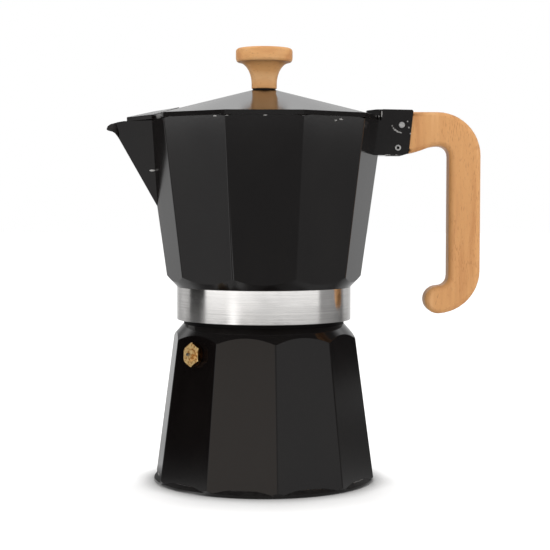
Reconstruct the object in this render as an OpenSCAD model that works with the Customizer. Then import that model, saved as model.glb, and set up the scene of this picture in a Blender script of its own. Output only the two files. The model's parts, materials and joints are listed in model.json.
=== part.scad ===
// Stove-top moka pot: a ten-sided cast boiler with a safety valve, a coffee
// funnel, and a ten-sided collector with a V spout, a hinged lid and a wooden
// handle and knob. Millimetres, +Z up, origin at the middle of the base.
// The spout points along -X and the handle along +X.

/* [Facets] */
// Number of flat facets round the boiler, the collector and the lid
facet_count = 10; // [8:2:12]

/* [Boiler] */
// Corner radius of the boiler at the stove
boiler_base_r = 56.5; // [53:0.1:60]
// Inward lean of the boiler's corners, per millimetre of height
boiler_lean = 0.134; // [0.1:0.001:0.15]
// Turn of the boiler's corners from the collector's once screwed tight
boiler_turn = -11; // [-18:0.1:18]
// Thickness of the boiler's cast wall
boiler_wall = 3.2; // [2.6:0.1:4]
// Thickness of the boiler's floor
boiler_floor = 4; // [3:0.5:6]
// Radius of the turned foot
foot_r = 55.5; // [52:0.1:57]
// Height of the turned foot
foot_h = 2.4; // [1.6:0.1:4]
// Depth below the boiler's rim at which the turned shoulder starts to cut the corners
shoulder_drop = 19.05; // [17:0.05:24]
// Outer radius of the neck under the collector
neck_r = 40.4; // [38.5:0.1:41.5]
// Radius of the neck where the thread is cut
thread_r = 38.8; // [38:0.1:39.2]
// Inner radius of the neck
throat_r = 35.2; // [34:0.1:36]
// Height of the boiler's rim above the stove
boiler_h = 91.25; // [88:0.05:96]

/* [Safety valve] */
// Facet that carries the valve, counted backwards from the first one
valve_facet = 3; // [1:1:5]
// Depth of the valve below the start of the turned shoulder
valve_drop = 6.3; // [6:0.1:20]
// Width of the valve's hexagon across its flats
valve_hex_af = 10.5; // [9:0.5:13]
// Height of the hexagon
valve_hex_h = 2.4; // [2:0.1:4]
// Thickness of the valve's sealing washer
valve_washer_t = 0.8; // [0.5:0.1:1.5]
// Radius of the valve's threaded shank
valve_shank_r = 4; // [3.5:0.1:4.5]
// Reach of the shank into the wall
valve_shank_l = 6.6; // [6:0.1:9]
// Radius of the valve's inner chamber
valve_bore_r = 2.7; // [2.4:0.1:3]
// Radius of the valve's pin
valve_pin_r = 0.7; // [0.5:0.05:0.9]
// Radius of the steam hole that the plunger closes
valve_port_r = 1.3; // [1:0.1:1.6]
// Travel of the plunger when the valve blows
valve_lift = 1.2; // [0.8:0.1:1.6]
// Wire radius of the valve's spring
spring_wire_r = 0.24; // [0.18:0.01:0.28]
// Turns of the valve's spring
spring_turns = 4; // [3:1:6]

/* [Funnel] */
// Thickness of the funnel's spun sheet
funnel_sheet = 0.8; // [0.6:0.1:1.2]
// Depth of the coffee basket below its flange
basket_depth = 24; // [18:1:30]
// Radial clearance of the basket in the boiler's neck
basket_clearance = 0.5; // [0.3:0.1:1]
// Width of the funnel's flange on the boiler's rim
flange_w = 2.6; // [2:0.1:3.2]
// Outer radius of the funnel's stem
stem_r = 5; // [4.6:0.1:6]
// Gap between the stem's mouth and the boiler's floor
stem_gap = 5; // [3:0.5:10]
// Radius of the holes in both strainers
hole_r = 0.9; // [0.6:0.1:1]
// Rings of holes in both strainers
hole_rings = 5; // [3:1:5]

/* [Gasket and filter plate] */
// Thickness of the rubber gasket
gasket_h = 3.2; // [2.5:0.1:4]
// Inner radius of the gasket
gasket_in_r = 30; // [28:0.5:31]
// Radius of the filter plate
plate_r = 31.8; // [31.5:0.1:33]
// Thickness of the filter plate
plate_t = 0.9; // [0.6:0.1:1.2]

/* [Collector] */
// Outer radius of the turned band that screws over the boiler's neck
band_r = 43.85; // [43.5:0.05:46]
// Height of the band
band_h = 16.5; // [14.5:0.1:18]
// Depth of the band's threaded socket up to the gasket's seat
socket_depth = 13.9; // [11:0.1:14.5]
// Radius of the threaded socket
socket_r = 39.8; // [39.6:0.1:40.5]
// Height of the collector's facets above the band
collector_h = 83.2; // [75:0.1:95]
// Corner radius of the collector at its rim
rim_r = 59.9; // [57:0.1:62]
// Outward lean of the collector's corners, per millimetre of height
collector_lean = 0.138; // [0.12:0.0005:0.16]
// Slope of the turned chamfer that scallops the facets' lower ends
scallop_slope = 0.946; // [0.7:0.002:1.2]
// Thickness of the collector's wall
collector_wall = 2.7; // [2.2:0.1:3.5]
// Height of the collector's inner floor above the band
floor_rise = 2.8; // [2.5:0.1:5]
// Height of the hub that holds the coffee column, above the inner floor
hub_rise = 11; // [8:0.5:16]

/* [Coffee column] */
// Radius of the column where it is pressed into the hub
column_r = 6.2; // [5.8:0.1:7]
// Radius of the column's bore
column_bore_r = 4.4; // [4:0.1:4.5]
// Height of the column above the hub
column_h = 50; // [40:1:60]

/* [Spout] */
// Reach of the spout's keel beyond the collector's corner, at the rim
spout_out = 18.4; // [15:0.1:24]
// Height of the spout's keel foot on the collector's corner
spout_foot_z = 138.3; // [130:0.1:146]
// Half of the angle between the spout's two walls, seen from above
spout_half_angle = 30; // [24:0.5:36]
// Thickness of the spout's walls
spout_wall = 2.2; // [1.8:0.1:2.8]
// Rounding of the spout's keel
keel_round = 1.2; // [0.8:0.1:2.5]
// Length of the pouring lip beyond the keel
lip_length = 1; // [0.5:0.1:3]

/* [Fork and handle] */
// Width over the fork's two cheeks
fork_w = 17; // [15:0.5:20]
// Thickness of a fork cheek
cheek_t = 1.8; // [1.4:0.1:2.4]
// Reach of the fork's upper outer corner beyond the collector's corner
fork_out = 14.5; // [13.7:0.1:16.5]
// Height of the fork's lower edge below the collector's rim
fork_drop = 17.35; // [16.5:0.05:20]
// Rise of the fork's upper edge above the collector's rim
fork_rise = 5.55; // [4.2:0.05:6]
// Reach of the handle's outer face beyond the collector's corner
handle_out = 48.7; // [46:0.1:56]
// Width of the handle's grip, seen from the side
grip_w = 16.05; // [15:0.05:19]
// Width of the handle, seen from behind
handle_w = 15.4; // [14:0.1:17]
// Height of the handle's lower end above the stove
handle_foot_z = 84.45; // [70:0.05:95]
// Radius of the rounded edges of the wood
wood_edge_r = 3; // [2:0.5:4]
// Radius of the tube rivet that holds the handle
rivet_r = 1.6; // [1.3:0.05:1.8]
// Radius of the hole through the tube rivet
rivet_hole_r = 0.6; // [0.4:0.05:0.8]

/* [Lid] */
// Thickness of the lid's cast roof
lid_wall = 2; // [1.6:0.1:2.6]
// Height of the lid's upright edge
lid_edge_h = 2.2; // [1.6:0.1:3]
// Rise of the lid's roof from its edge to its flat top
roof_rise = 12.95; // [10:0.05:17]
// Radius of the lid's flat top
apex_r = 6.9; // [6.5:0.1:8]
// Gap between the lid and the collector's rim
lid_gap = 0.1; // [0.05:0.05:0.3]
// Radius of the hinge pin
hinge_pin_r = 1.6; // [1.3:0.05:1.8]
// Distance of the hinge pin beyond the collector's corner
hinge_out = 8.7; // [8.2:0.1:10.2]
// Depth of the hinge pin below the fork's upper edge
hinge_drop = 7.75; // [6.6:0.05:8]
// Width of the lid's hinge tail
tail_w = 7; // [6:0.5:8]
// Widest angle of the open lid
lid_open = 100; // [85:1:101]

/* [Knob] */
// Largest radius of the wooden knob
knob_r = 14.25; // [12:0.05:17]
// Height of the knob
knob_h = 20.3; // [18:0.1:26]
// Radius of the knob's stem
knob_stem_r = 6.35; // [5.8:0.05:8]
// Thickness of the washer under the knob
knob_washer_t = 0.7; // [0.5:0.1:2]
// Radius of the knob's screw
knob_screw_r = 2; // [1.5:0.1:2.5]

/* [Hidden] */
$fn = 96;
// sides of round shapes that are smoothed by minkowski
wood_fn = 20;
// running clearance, seating gap and press clearance
running = 0.05;
seat_gap = 0.05;
press = 0.02;
// overlap that makes two joined forms one solid
weld = 0.01;

// apothem of a regular polygon with a corner radius of one
flat = cos(180 / facet_count);
function boiler_corner_r(z) = boiler_base_r - boiler_lean * z;
function boiler_in_r(z) = flat * boiler_corner_r(z) - boiler_wall;

// boiler: heights of the foot, the shoulder and the neck
foot_bevel = 0.5;
foot_step = 0.9;
trim_r = boiler_base_r + 6;
boiler_fillet = 3;
shoulder_slope = 1.12;
shoulder_z = boiler_h - shoulder_drop;
shoulder_r = boiler_corner_r(shoulder_z);
neck_foot_z = shoulder_z + (shoulder_r - neck_r) * shoulder_slope;
neck_z = neck_foot_z + 0.9;

// stack of funnel flange, gasket and filter plate on the boiler's rim
flange_z = boiler_h;
gasket_z = flange_z + funnel_sheet + seat_gap;
seat_z = gasket_z + gasket_h + seat_gap;
skirt_z = seat_z - socket_depth;
band_z = skirt_z + band_h;
rim_z = band_z + collector_h;
neck_top = skirt_z - 0.3;

// collector: inside form
function collector_corner_r(z) = rim_r - collector_lean * (rim_z - z);
function collector_in_r(z) = flat * collector_corner_r(z) - collector_wall;
floor_z = band_z + floor_rise;
hub_z = floor_z + hub_rise;
hub_wall = 2.8;
hub_r = column_r + hub_wall;
cone_wall = 4;
cone_z = hub_z - cone_wall;
collector_fillet = 4;
band_edge = 0.15;
column_top_z = hub_z + column_h;

// safety valve: it stands square on its facet
valve_z = shoulder_z - valve_drop;
facet_tilt = atan(flat * boiler_lean);
valve_angle = boiler_turn - (valve_facet + 0.5) * 360 / facet_count;
valve_top = valve_washer_t + valve_hex_h;
valve_boss_r = valve_shank_r + 3;
valve_boss_l = valve_shank_l - 0.6;
valve_seat_z = -valve_shank_l + 1.6;
plunger_t = 1;
plunger_z = valve_seat_z + seat_gap;
valve_cap_plug = 0.9;
valve_cap_r = valve_bore_r + 0.6;
valve_cap_h = 1.4;
valve_pin_out = 0.9;
valve_pin_top = valve_top + valve_cap_h + valve_pin_out;
spring_r = valve_pin_r + 0.35 + 2 * spring_wire_r;

// funnel
basket_r = throat_r - basket_clearance;
basket_z = flange_z - basket_depth;
basket_in_r = basket_r - funnel_sheet;
funnel_cone_h = 5;
funnel_collar_h = 5;
collar_r = stem_r + funnel_sheet + press;
cone_top_z = basket_z - funnel_cone_h;
stem_top_z = cone_top_z + 0.5;
stem_z = boiler_floor + stem_gap;
screen_t = 0.8;
screen_ledge = 1.6;
screen_z = basket_z + funnel_sheet;
screen_r = basket_in_r - 0.1;

// strainer holes: equal steps from ring to ring
plate_pitch = (gasket_in_r - 3) / hole_rings;
screen_pitch = (screen_r - screen_ledge - 2) / hole_rings;

// spout: a V trough that leans outwards along its keel
spout_reach = rim_r + spout_out;
keel_run = spout_reach - collector_corner_r(spout_foot_z);
keel_rise = rim_z - spout_foot_z;
keel_lean = atan(keel_run / keel_rise);
keel_foot_x = -collector_corner_r(spout_foot_z);
trough_half_angle = atan(tan(spout_half_angle) / cos(keel_lean));
trough_length = 70;
lip_z = rim_z - 0.5;
lip_r = 3;
lip_x = -(spout_reach + lip_length);
groove_r = 2;

// fork, handle and hinge
fork_reach = rim_r + fork_out;
handle_reach = rim_r + handle_out;
hinge_x = rim_r + hinge_out;
fork_z = rim_z - fork_drop;
fork_top = rim_z + fork_rise;
fork_slant = 2.3;
fork_fall = 0.25;
cheek_gap = fork_w - 2 * cheek_t;
fork_front = rim_r - (fork_w / 2) * tan(180 / facet_count) + 1.2;
fork_root = rim_r - 9;
web_x = rim_r + 1.2;
web_top = rim_z - 3;
hinge_z = fork_top - hinge_drop;
tenon_w = cheek_gap - 2 * seat_gap;
wood_top = fork_top - 1.15;
wood_low = fork_z + 0.3;
rivet_x = hinge_x - 1.85;
rivet_z = fork_z + 3.8;
rivet_out = 0.35;

// lid
lid_z = rim_z + lid_gap;
roof_z = lid_z + lid_edge_h;
apex_z = roof_z + roof_rise;
roof_slope = roof_rise / (rim_r - apex_r);
lid_top_in = apex_z - lid_wall;
lid_in_r = rim_r - 2.6;
lid_in_z = roof_z - 0.8;

// radius about the hinge pin that the lid keeps clear of where the cheeks stand
cheek_sweep = norm([hinge_x - fork_front, hinge_drop]) + 0.35;
notch_y = [cheek_gap / 2 - 0.4, fork_w / 2 + 0.4];

// lid tail: corners relative to the hinge pin; swing() turns one about the pin
knuckle_r = 4;
tail_corner = [-8.3, 7.95];
function swing(p, a) = [p[0] * cos(a) + p[1] * sin(a), p[1] * cos(a) - p[0] * sin(a)];
tail_top = hinge_z + tail_corner[1];
tail_start = rim_r - 8.8;
tail_slack = 0.3;
slot_clearance = 0.4;
slot_reach = swing(tail_corner, lid_open)[0] + slot_clearance;
slot_back = hinge_out + 3;
slot_top = hinge_drop + 3;

// beak: the lid's cover over the spout
beak_end = spout_reach - 9.8;
beak_root = rim_r - 17;
beak_drop = 0.4;
beak_end_h = 1.4;
beak_side_x = rim_r - 5;

// handle outline
handle_outer_r = 22;
handle_lower_r = 21.8;
handle_inner_r = 5;
hook_inner_r = 5;
hook_r = 6.95;
handle_inner_x = handle_reach - grip_w;
arm_low = fork_z + 4.75;
// underside of the arm: a hollow bend that turns into a swelling one at arm_turn
arm_under_r = 17.7;
arm_swell_r = 33;
arm_turn = 113.3;
arm_front_x = web_x + seat_gap;

// knob
knob_z = apex_z + knob_washer_t;
knob_top = knob_z + knob_h;
knob_cap_h = 6.9;
knob_flare_z = knob_top - knob_cap_h;
insert_r = knob_screw_r + 1.4;
insert_h = 9;
screw_head_r = knob_screw_r + 1.8;
screw_head_h = 2;
screw_up = 7;

// ---- shared forms ----

// frustum with the pot's facets
module facet_frustum(z0, r0, z1, r1) {
    translate([0, 0, z0])
        cylinder(h = z1 - z0, r1 = r0, r2 = r1, $fn = facet_count);
}

// solid or hollow turned about the pot's axis from a half profile of [r, z]
module turned(profile) {
    rotate_extrude() polygon(profile);
}

// plate cut to an outline of [x, z], lying between two depths y
module side_plate(y0, y1) {
    translate([0, y1, 0])
        rotate([90, 0, 0])
            linear_extrude(y1 - y0) children();
}

// cross pin along y at the place [x, z]
module cross_pin(place, r, length) {
    translate([place[0], 0, place[1]])
        rotate([90, 0, 0])
            cylinder(h = length, r = r, center = true);
}

// strainer holes: one in the middle and six more in each ring outwards
module strainer_holes(z, depth, pitch) {
    for (ring = [0 : hole_rings])
        for (k = [0 : max(1, 6 * ring) - 1])
            rotate([0, 0, 60 * k / max(1, ring)])
                translate([ring * pitch, 0, z - weld])
                    cylinder(h = depth + 2 * weld, r = hole_r, $fn = 16);
}

// places its children on the valve's facet, with +Z pointing out of the wall
module at_valve() {
    rotate([0, 0, valve_angle])
        translate([flat * boiler_corner_r(valve_z), 0, valve_z])
            rotate([0, 90 - facet_tilt, 0]) children();
}

// wire coil from height z0 to z1, built as rings swept along the helix
module coil(mean_r, wire_r, z0, z1, turns) {
    sides = 8;
    steps = 14;
    rings = turns * steps;
    wire = [for (i = [0 : rings]) for (j = [0 : sides - 1])
        let (turn = 360 * i / steps, around = 360 * j / sides,
             r = mean_r + wire_r * cos(around))
        [r * cos(turn), r * sin(turn), z0 + (z1 - z0) * i / rings + wire_r * sin(around)]];
    skin = [for (i = [0 : rings - 1]) for (j = [0 : sides - 1])
        let (k = (j + 1) % sides, a = i * sides, b = a + sides)
        each [[a + j, a + k, b + k], [a + j, b + k, b + j]]];
    first_end = [for (j = [sides - 1 : -1 : 0]) j];
    last_end = [for (j = [0 : sides - 1]) rings * sides + j];
    polyhedron(wire, concat([first_end, last_end], skin));
}

// points of an arc about [x, z] from angle a0 to a1
function arc(x, z, r, a0, a1, steps = 8) =
    [for (i = [0 : steps]) let (a = a0 + (a1 - a0) * i / steps) [x + r * cos(a), z + r * sin(a)]];

// ---- boiler and safety valve ----

module boiler_outside() {
    intersection() {
        rotate([0, 0, boiler_turn])
            facet_frustum(0, boiler_base_r, neck_z, boiler_corner_r(neck_z));
        // turned trims: the foot below and the shoulder that arches the facets above
        turned([[0, 0], [foot_r - foot_bevel, 0], [foot_r, foot_bevel],
                [foot_r, foot_h - foot_bevel], [trim_r, foot_h + trim_r - foot_r],
                [trim_r, shoulder_z - (trim_r - shoulder_r) * shoulder_slope],
                [neck_r, neck_foot_z], [neck_r, neck_z], [0, neck_z]]);
    }
    turned([[0, 0], [foot_r - foot_bevel, 0], [foot_r, foot_bevel],
            [foot_r, foot_h - foot_step], [foot_r - 2 * foot_step, foot_h + foot_step],
            [0, foot_h + foot_step]]);
    turned([[0, neck_z - 3], [neck_r, neck_z - 3], [neck_r, neck_top],
            [thread_r, neck_top], [thread_r, boiler_h - 0.6], [thread_r - 0.6, boiler_h],
            [0, boiler_h]]);
}

module boiler_inside() {
    turned([[0, boiler_floor], [boiler_in_r(boiler_floor) - boiler_fillet, boiler_floor],
            [boiler_in_r(boiler_floor + boiler_fillet), boiler_floor + boiler_fillet],
            [boiler_in_r(shoulder_z), shoulder_z], [throat_r, neck_z],
            [throat_r, boiler_h + 1], [0, boiler_h + 1]]);
}

module boiler() {
    color("#262423")
        difference() {
            union() {
                difference() {
                    boiler_outside();
                    boiler_inside();
                }
                at_valve()
                    translate([0, 0, -valve_boss_l])
                        cylinder(h = valve_boss_l - 1, r = valve_boss_r);
            }
            at_valve()
                translate([0, 0, -valve_shank_l - 2])
                    cylinder(h = valve_shank_l + 4, r = valve_shank_r + press);
        }
}

module valve_washer() {
    color("#b87333")
        at_valve()
            translate([0, 0, seat_gap])
                difference() {
                    cylinder(h = valve_washer_t - seat_gap, r = valve_hex_af / 2 + 0.3);
                    translate([0, 0, -1])
                        cylinder(h = valve_washer_t + 2, r = valve_shank_r + press);
                }
}

// hexagon whose corners are turned off by a cone
module valve_hexagon() {
    corner_r = valve_hex_af / 2 / cos(30);
    intersection() {
        translate([0, 0, valve_washer_t])
            cylinder(h = valve_hex_h, r = corner_r, $fn = 6);
        translate([0, 0, valve_washer_t])
            cylinder(h = valve_hex_h, r1 = corner_r + valve_hex_h - 0.5, r2 = corner_r - 0.5);
    }
}

module valve_body() {
    color("#c99a4f")
        at_valve()
            difference() {
                union() {
                    rotate([0, 0, 4]) valve_hexagon();
                    translate([0, 0, -valve_shank_l])
                        cylinder(h = valve_shank_l + valve_washer_t + weld, r = valve_shank_r);
                }
                translate([0, 0, valve_seat_z])
                    cylinder(h = valve_top - valve_seat_z + 1, r = valve_bore_r);
                translate([0, 0, -valve_shank_l - 1])
                    cylinder(h = valve_shank_l, r = valve_port_r);
            }
}

// disc on the steam hole with a pin that shows outside
module valve_plunger() {
    color("#8a8d90")
        at_valve() {
            translate([0, 0, plunger_z])
                cylinder(h = plunger_t, r = valve_bore_r - 0.3);
            translate([0, 0, plunger_z + plunger_t - weld])
                cylinder(h = valve_pin_top - plunger_z - plunger_t + weld, r = valve_pin_r);
        }
}

module valve_spring() {
    color("#9a9da0")
        at_valve()
            coil(spring_r, spring_wire_r, plunger_z + plunger_t + spring_wire_r + seat_gap,
                 valve_top - valve_cap_plug - spring_wire_r - seat_gap, spring_turns);
}

module valve_cap() {
    color("#d8b06a")
        at_valve()
            difference() {
                union() {
                    translate([0, 0, valve_top - valve_cap_plug])
                        cylinder(h = valve_cap_plug + seat_gap + weld, r = valve_bore_r - press);
                    translate([0, 0, valve_top + seat_gap])
                        cylinder(h = valve_cap_h, r1 = valve_cap_r, r2 = valve_cap_r - 0.5);
                }
                translate([0, 0, valve_top - valve_cap_plug - 1])
                    cylinder(h = valve_cap_h + valve_cap_plug + 3, r = valve_pin_r + 0.15);
            }
}

// ---- funnel ----

module funnel_basket() {
    color("#b9bcbe")
        turned([[collar_r - funnel_sheet, cone_top_z - funnel_collar_h],
                [collar_r, cone_top_z - funnel_collar_h], [collar_r, cone_top_z - 0.6],
                [basket_r - 1.5, basket_z - 0.2], [basket_r, basket_z + 1.2],
                [basket_r, flange_z], [basket_r + flange_w, flange_z],
                [basket_r + flange_w, flange_z + funnel_sheet],
                [basket_in_r, flange_z + funnel_sheet],
                [basket_in_r, screen_z], [basket_in_r - screen_ledge, screen_z],
                [basket_in_r - screen_ledge - 1, basket_z + 0.3],
                [collar_r - funnel_sheet, cone_top_z + 0.5]]);
}

module funnel_stem() {
    color("#aeb1b3")
        turned([[stem_r - funnel_sheet, stem_z], [stem_r - 0.3, stem_z], [stem_r, stem_z + 0.4],
                [stem_r, stem_top_z], [stem_r - funnel_sheet, stem_top_z]]);
}

module funnel_screen() {
    color("#c4c6c8")
        difference() {
            translate([0, 0, screen_z + seat_gap])
                cylinder(h = screen_t, r = screen_r);
            strainer_holes(screen_z + seat_gap, screen_t, screen_pitch);
        }
}

// ---- gasket and filter plate ----

module gasket() {
    color("#e6e2d8")
        difference() {
            translate([0, 0, gasket_z])
                cylinder(h = gasket_h, r = socket_r - 0.35);
            translate([0, 0, gasket_z - 1])
                cylinder(h = gasket_h + 2, r = gasket_in_r);
        }
}

module filter_plate() {
    color("#c9cbcd")
        difference() {
            translate([0, 0, seat_z])
                cylinder(h = plate_t, r = plate_r);
            strainer_holes(seat_z, plate_t, plate_pitch);
        }
}

// ---- collector, spout and fork ----

// facets above, cut at their lower ends by a turned cone into scallops
module collector_outside() {
    intersection() {
        facet_frustum(band_z, collector_corner_r(band_z), rim_z, rim_r);
        turned([[0, band_z], [band_r, band_z],
                [band_r + 30 * scallop_slope, band_z + 30], [rim_r + 2, rim_z - 2],
                [rim_r - 1, rim_z], [0, rim_z]]);
    }
    turned([[0, skirt_z], [band_r - band_edge, skirt_z], [band_r, skirt_z + band_edge],
            [band_r, band_z - band_edge], [band_r - band_edge, band_z], [0, band_z + weld]]);
}

module collector_inside() {
    turned([[0, hub_z], [hub_r, hub_z], [hub_r + 1, hub_z - 1],
            [hub_r + hub_rise, floor_z + 1],
            [hub_r + hub_rise + 6, floor_z],
            [collector_in_r(floor_z) - collector_fillet, floor_z],
            [collector_in_r(floor_z + collector_fillet), floor_z + collector_fillet],
            [collector_in_r(rim_z), rim_z], [collector_in_r(rim_z), rim_z + 20],
            [0, rim_z + 20]]);
    // threaded socket, filter plate's recess and the cone that feeds the column
    turned([[0, skirt_z - 1], [socket_r + 0.8, skirt_z - 1], [socket_r, skirt_z + 0.8],
            [socket_r, seat_z], [plate_r + 0.3, seat_z],
            [plate_r + 0.3, seat_z + plate_t + seat_gap],
            [plate_r - 3.5, seat_z + plate_t + seat_gap],
            [column_r + press, cone_z], [column_r + press, hub_z + 1], [0, hub_z + 1]]);
}

// V section with its keel at the origin, rounded, opening towards +X
module trough_section(inset) {
    keel_x = keel_round + inset / sin(trough_half_angle);
    far = trough_length;
    polygon(concat(
        arc(keel_x, 0, keel_round, 90 + trough_half_angle, 270 - trough_half_angle, 6),
        [[keel_x + far, -far * tan(trough_half_angle)], [keel_x + far, far * tan(trough_half_angle)]]));
}

// trough along the leaning keel, kept to the outer half of the wall
module trough(inset) {
    intersection() {
        translate([keel_foot_x, 0, spout_foot_z])
            rotate([0, -keel_lean, 0])
                translate([0, 0, -30])
                    linear_extrude(120) trough_section(inset);
        translate([-120, -40, spout_foot_z - 12])
            cube([120 - collector_in_r(spout_foot_z) + 4, 80, rim_z + 10 - spout_foot_z + 12]);
    }
}

// outline of the spout seen from the side, with the curled pouring lip
module spout_outline() {
    inner = -collector_in_r(spout_foot_z) - 1;
    polygon([[inner, spout_foot_z - 10], [keel_foot_x + 1, spout_foot_z - 10],
             [keel_foot_x, spout_foot_z], [lip_x + 5.6, lip_z - 7.5],
             [lip_x + 4.5, lip_z - 6], [lip_x + 3, lip_z - 5], [lip_x + 0.7, lip_z - 4.5],
             [lip_x, lip_z - 3.9], [lip_x + 0.7, lip_z - 2.45], [lip_x + 2.25, lip_z - 1.45],
             [lip_x + 5.8, lip_z - 0.45], [lip_x + 9, lip_z], [inner, lip_z]]);
}

module spout() {
    intersection() {
        side_plate(-30, 30) spout_outline();
        union() {
            trough(0);
            translate([lip_x + lip_r, 0, lip_z - 9])
                cylinder(h = 9, r = lip_r);
        }
    }
}

// pouring groove along the lip's top
module lip_groove() {
    translate([-spout_reach + 9, 0, lip_z - 0.6])
        rotate([0, -88, 0])
            cylinder(h = 14, r = groove_r);
}

module cheek_outline() {
    polygon([[fork_root, fork_z], [fork_reach - fork_slant - 3.2, fork_z],
             [fork_reach - fork_slant, fork_z + 0.9], [fork_reach, fork_top - fork_fall - 0.6],
             [fork_reach - 0.6, fork_top - fork_fall], [fork_front + 0.8, fork_top],
             [fork_front, fork_top - 0.8], [fork_front, rim_z - weld], [fork_root, rim_z - weld]]);
}

module fork() {
    for (side = [-1, 1])
        side_plate(side * fork_w / 2 - (side > 0 ? cheek_t : 0),
                   side * fork_w / 2 + (side > 0 ? 0 : cheek_t)) cheek_outline();
    translate([fork_root, -fork_w / 2 + 0.5, fork_z])
        cube([web_x - fork_root, fork_w - 1, web_top - fork_z]);
}

module collector() {
    color("#262423")
        difference() {
            union() {
                collector_outside();
                spout();
                fork();
            }
            collector_inside();
            trough(spout_wall);
            lip_groove();
            cross_pin([hinge_x, hinge_z], hinge_pin_r + press, fork_w + 2);
            cross_pin([rivet_x, rivet_z], rivet_r + press, fork_w + 2);
        }
}

// tube with a domed end and two side windows that let the coffee out
module coffee_column() {
    window_h = 5;
    window_z = column_top_z - 13;
    top_r = column_r - 0.9;
    color("#bfc1c3")
        difference() {
            turned(concat(
                [[0, cone_z], [column_r, cone_z], [column_r, hub_z + 2],
                 [top_r, column_top_z - top_r]],
                arc(0, column_top_z - top_r, top_r, 10, 90)));
            translate([0, 0, cone_z - 1])
                cylinder(h = column_top_z - 6.2 - cone_z, r = column_bore_r);
            translate([-3, -column_r - 1, window_z])
                cube([6, 2 * column_r + 2, window_h]);
        }
}

// ---- wooden handle and its pins ----

// side outline of the handle: arm, outer corner, grip and hooked end
module handle_outline() {
    corner_x = handle_reach - handle_outer_r;
    lower_x = handle_reach - handle_lower_r;
    lower_z = handle_foot_z + handle_lower_r;
    hook_z = handle_foot_z + hook_r;
    hook_in_z = hook_z + hook_r + hook_inner_r;
    inner_x = handle_inner_x - handle_inner_r;
    hollow_z = arm_low - arm_under_r;
    polygon(concat(
        [[arm_front_x, wood_top]],
        arc(corner_x, wood_top - handle_outer_r, handle_outer_r, 90, 0, 12),
        arc(lower_x, lower_z, handle_lower_r, 0, -86, 12),
        arc(lower_x + 0.8, hook_z, hook_r, -90, -255, 11),
        arc(handle_inner_x - hook_inner_r, hook_in_z, hook_inner_r, -75, 0, 5),
        arc(inner_x, arm_low - handle_inner_r, handle_inner_r, 0, 90, 6),
        arc(inner_x, hollow_z, arm_under_r, 93, arm_turn, 6),
        arc(inner_x + (arm_under_r + arm_swell_r) * cos(arm_turn),
            hollow_z + (arm_under_r + arm_swell_r) * sin(arm_turn),
            arm_swell_r, arm_turn - 180, -81, 4),
        [[arm_front_x, wood_low]]));
}

// space that the lid's tail and its knuckle sweep in the wood
module tail_slot() {
    side_plate(-tail_w / 2 - tail_slack, tail_w / 2 + tail_slack)
        translate([hinge_x, hinge_z]) {
            low = knuckle_r + slot_clearance;
            circle(r = low);
            polygon([[-slot_back, -low], [0, -low], [low, 0], [slot_reach, hinge_drop - 2.2],
                     [slot_reach, slot_top], [-slot_back, slot_top]]);
        }
}

module handle() {
    color("#d79c62")
        difference() {
            minkowski() {
                side_plate(-handle_w / 2 + wood_edge_r, handle_w / 2 - wood_edge_r)
                    offset(delta = -wood_edge_r) handle_outline();
                sphere(r = wood_edge_r, $fn = wood_fn);
            }
            // cheeks of the fork let into both sides, square to the fork's front end
            for (side = [-1, 1])
                side_plate(side * tenon_w / 2 - (side > 0 ? 0 : 5),
                           side * tenon_w / 2 + (side > 0 ? 5 : 0))
                    polygon([[0, fork_z - 9], [fork_reach - fork_slant - 0.9 + 0.1, fork_z - 9],
                             [fork_reach + 0.1, fork_top], [fork_reach + 0.1, fork_top + 9],
                             [0, fork_top + 9]]);
            tail_slot();
            cross_pin([hinge_x, hinge_z], hinge_pin_r + press, fork_w + 2);
            cross_pin([rivet_x, rivet_z], rivet_r + press, fork_w + 2);
        }
}

module handle_rivet() {
    color("#c8cacc")
        difference() {
            cross_pin([rivet_x, rivet_z], rivet_r, fork_w + 2 * rivet_out);
            cross_pin([rivet_x, rivet_z], rivet_hole_r, fork_w + 4);
        }
}

module hinge_pin() {
    color("#d5d7d9")
        cross_pin([hinge_x, hinge_z], hinge_pin_r, fork_w + 2 * rivet_out);
}

// ---- lid and knob ----

// cover over the spout: a low ridge between two sloping sides
module beak_shape(inset, drop) {
    half_end = (spout_reach - beak_end) * tan(spout_half_angle) - 0.2;
    half_root = half_end + (beak_end - beak_side_x) * tan(spout_half_angle);
    bottom = lid_z + beak_drop;
    hull() {
        for (side = [-1, 1]) {
            translate([-beak_end + inset, side * (half_end - inset), bottom - 2 * drop])
                cylinder(h = 0.9 + drop, r = 0.1, $fn = 4);
            translate([-beak_side_x, side * (half_root - inset), bottom - 2 * drop])
                cylinder(h = 1.9 + drop, r = 0.1, $fn = 4);
        }
        translate([-beak_end + inset, 0, bottom - 2 * drop])
            cylinder(h = beak_end_h + drop, r = 0.1, $fn = 4);
        translate([-beak_side_x, 0, bottom - 2 * drop])
            cylinder(h = 4.3 + drop, r = 0.1, $fn = 4);
        translate([-beak_root, 0, lid_z])
            cylinder(h = roof_z - lid_z + (rim_r - beak_root) * roof_slope + 0.3 - 2 * drop,
                     r = 0.1, $fn = 4);
    }
}

module tail_outline() {
    polygon([[tail_start, roof_z], [tail_start + 0.3, tail_top - 0.6],
             [tail_start + 5.3, tail_top], [hinge_x + tail_corner[0], tail_top],
             [hinge_x - knuckle_r / 2, hinge_z + knuckle_r * sin(60)],
             [hinge_x, hinge_z],
             [hinge_x - knuckle_r * 0.8, hinge_z - knuckle_r * 0.6],
             [rim_r + 0.5, lid_z], [tail_start, lid_z]]);
    translate([hinge_x, hinge_z]) circle(r = knuckle_r);
}

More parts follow.
